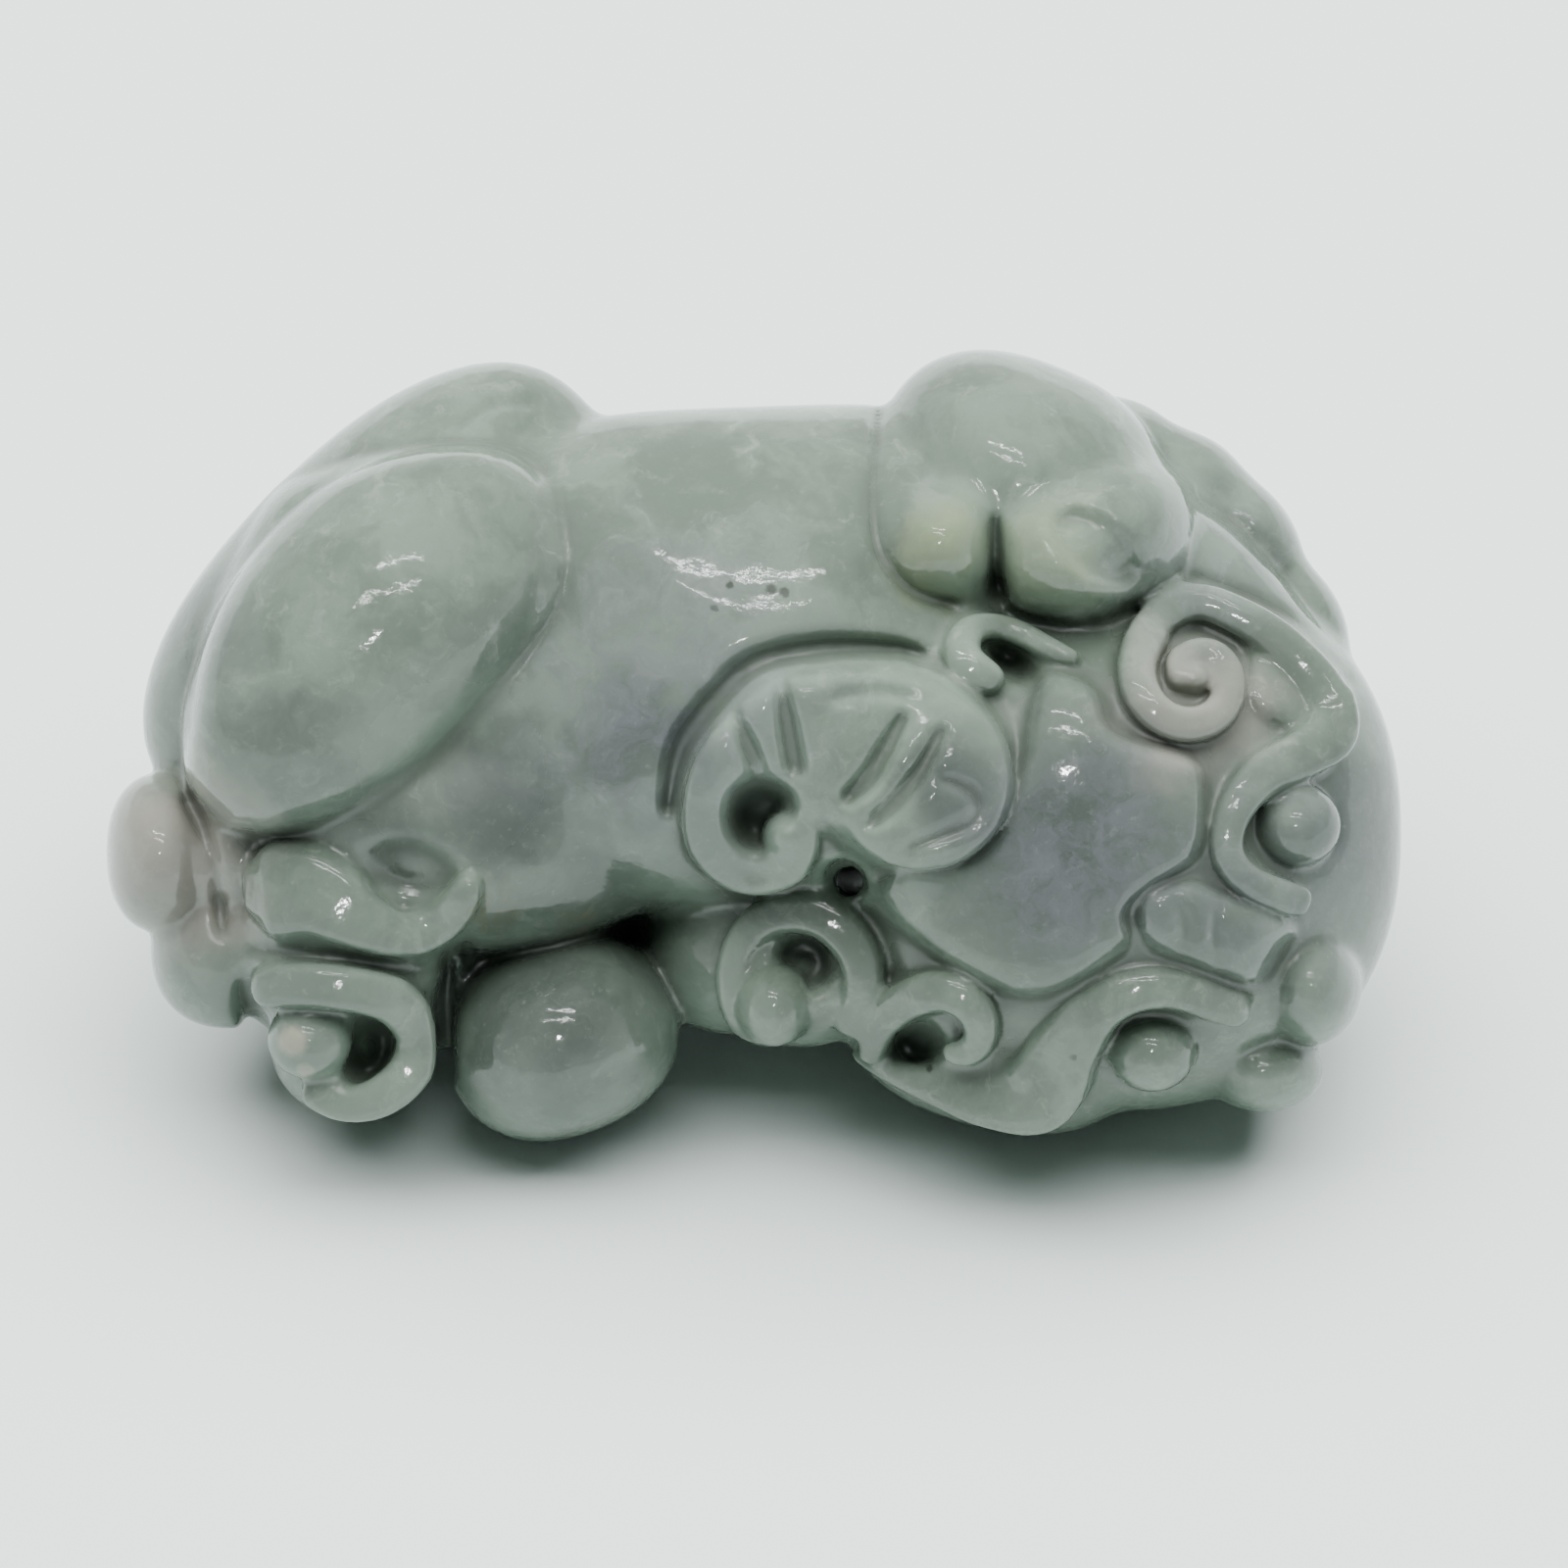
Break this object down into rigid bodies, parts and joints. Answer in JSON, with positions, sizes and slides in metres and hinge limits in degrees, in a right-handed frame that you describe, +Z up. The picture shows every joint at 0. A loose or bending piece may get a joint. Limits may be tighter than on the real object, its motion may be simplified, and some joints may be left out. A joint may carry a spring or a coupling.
{
  "type": "jade pixiu pendant",
  "caption": "Carved jade pendant of a crouching pixiu with scrolled brows, ears and tail, drilled through for a cord.",
  "frame": {"origin": "centre of the bounding box in X and Y, at the level of the surface that the stone lies on", "axes": "+X from the tail to the head, +Z up as the stone lies, -Y towards the carved back and left flank"},
  "size_m": [0.0518, 0.0286, 0.0284],
  "materials": {
    "jade": "polished"
  },
  "bodies": {
    "root": {"jade_pixiu": "jade"}
  },
  "joints": []
}
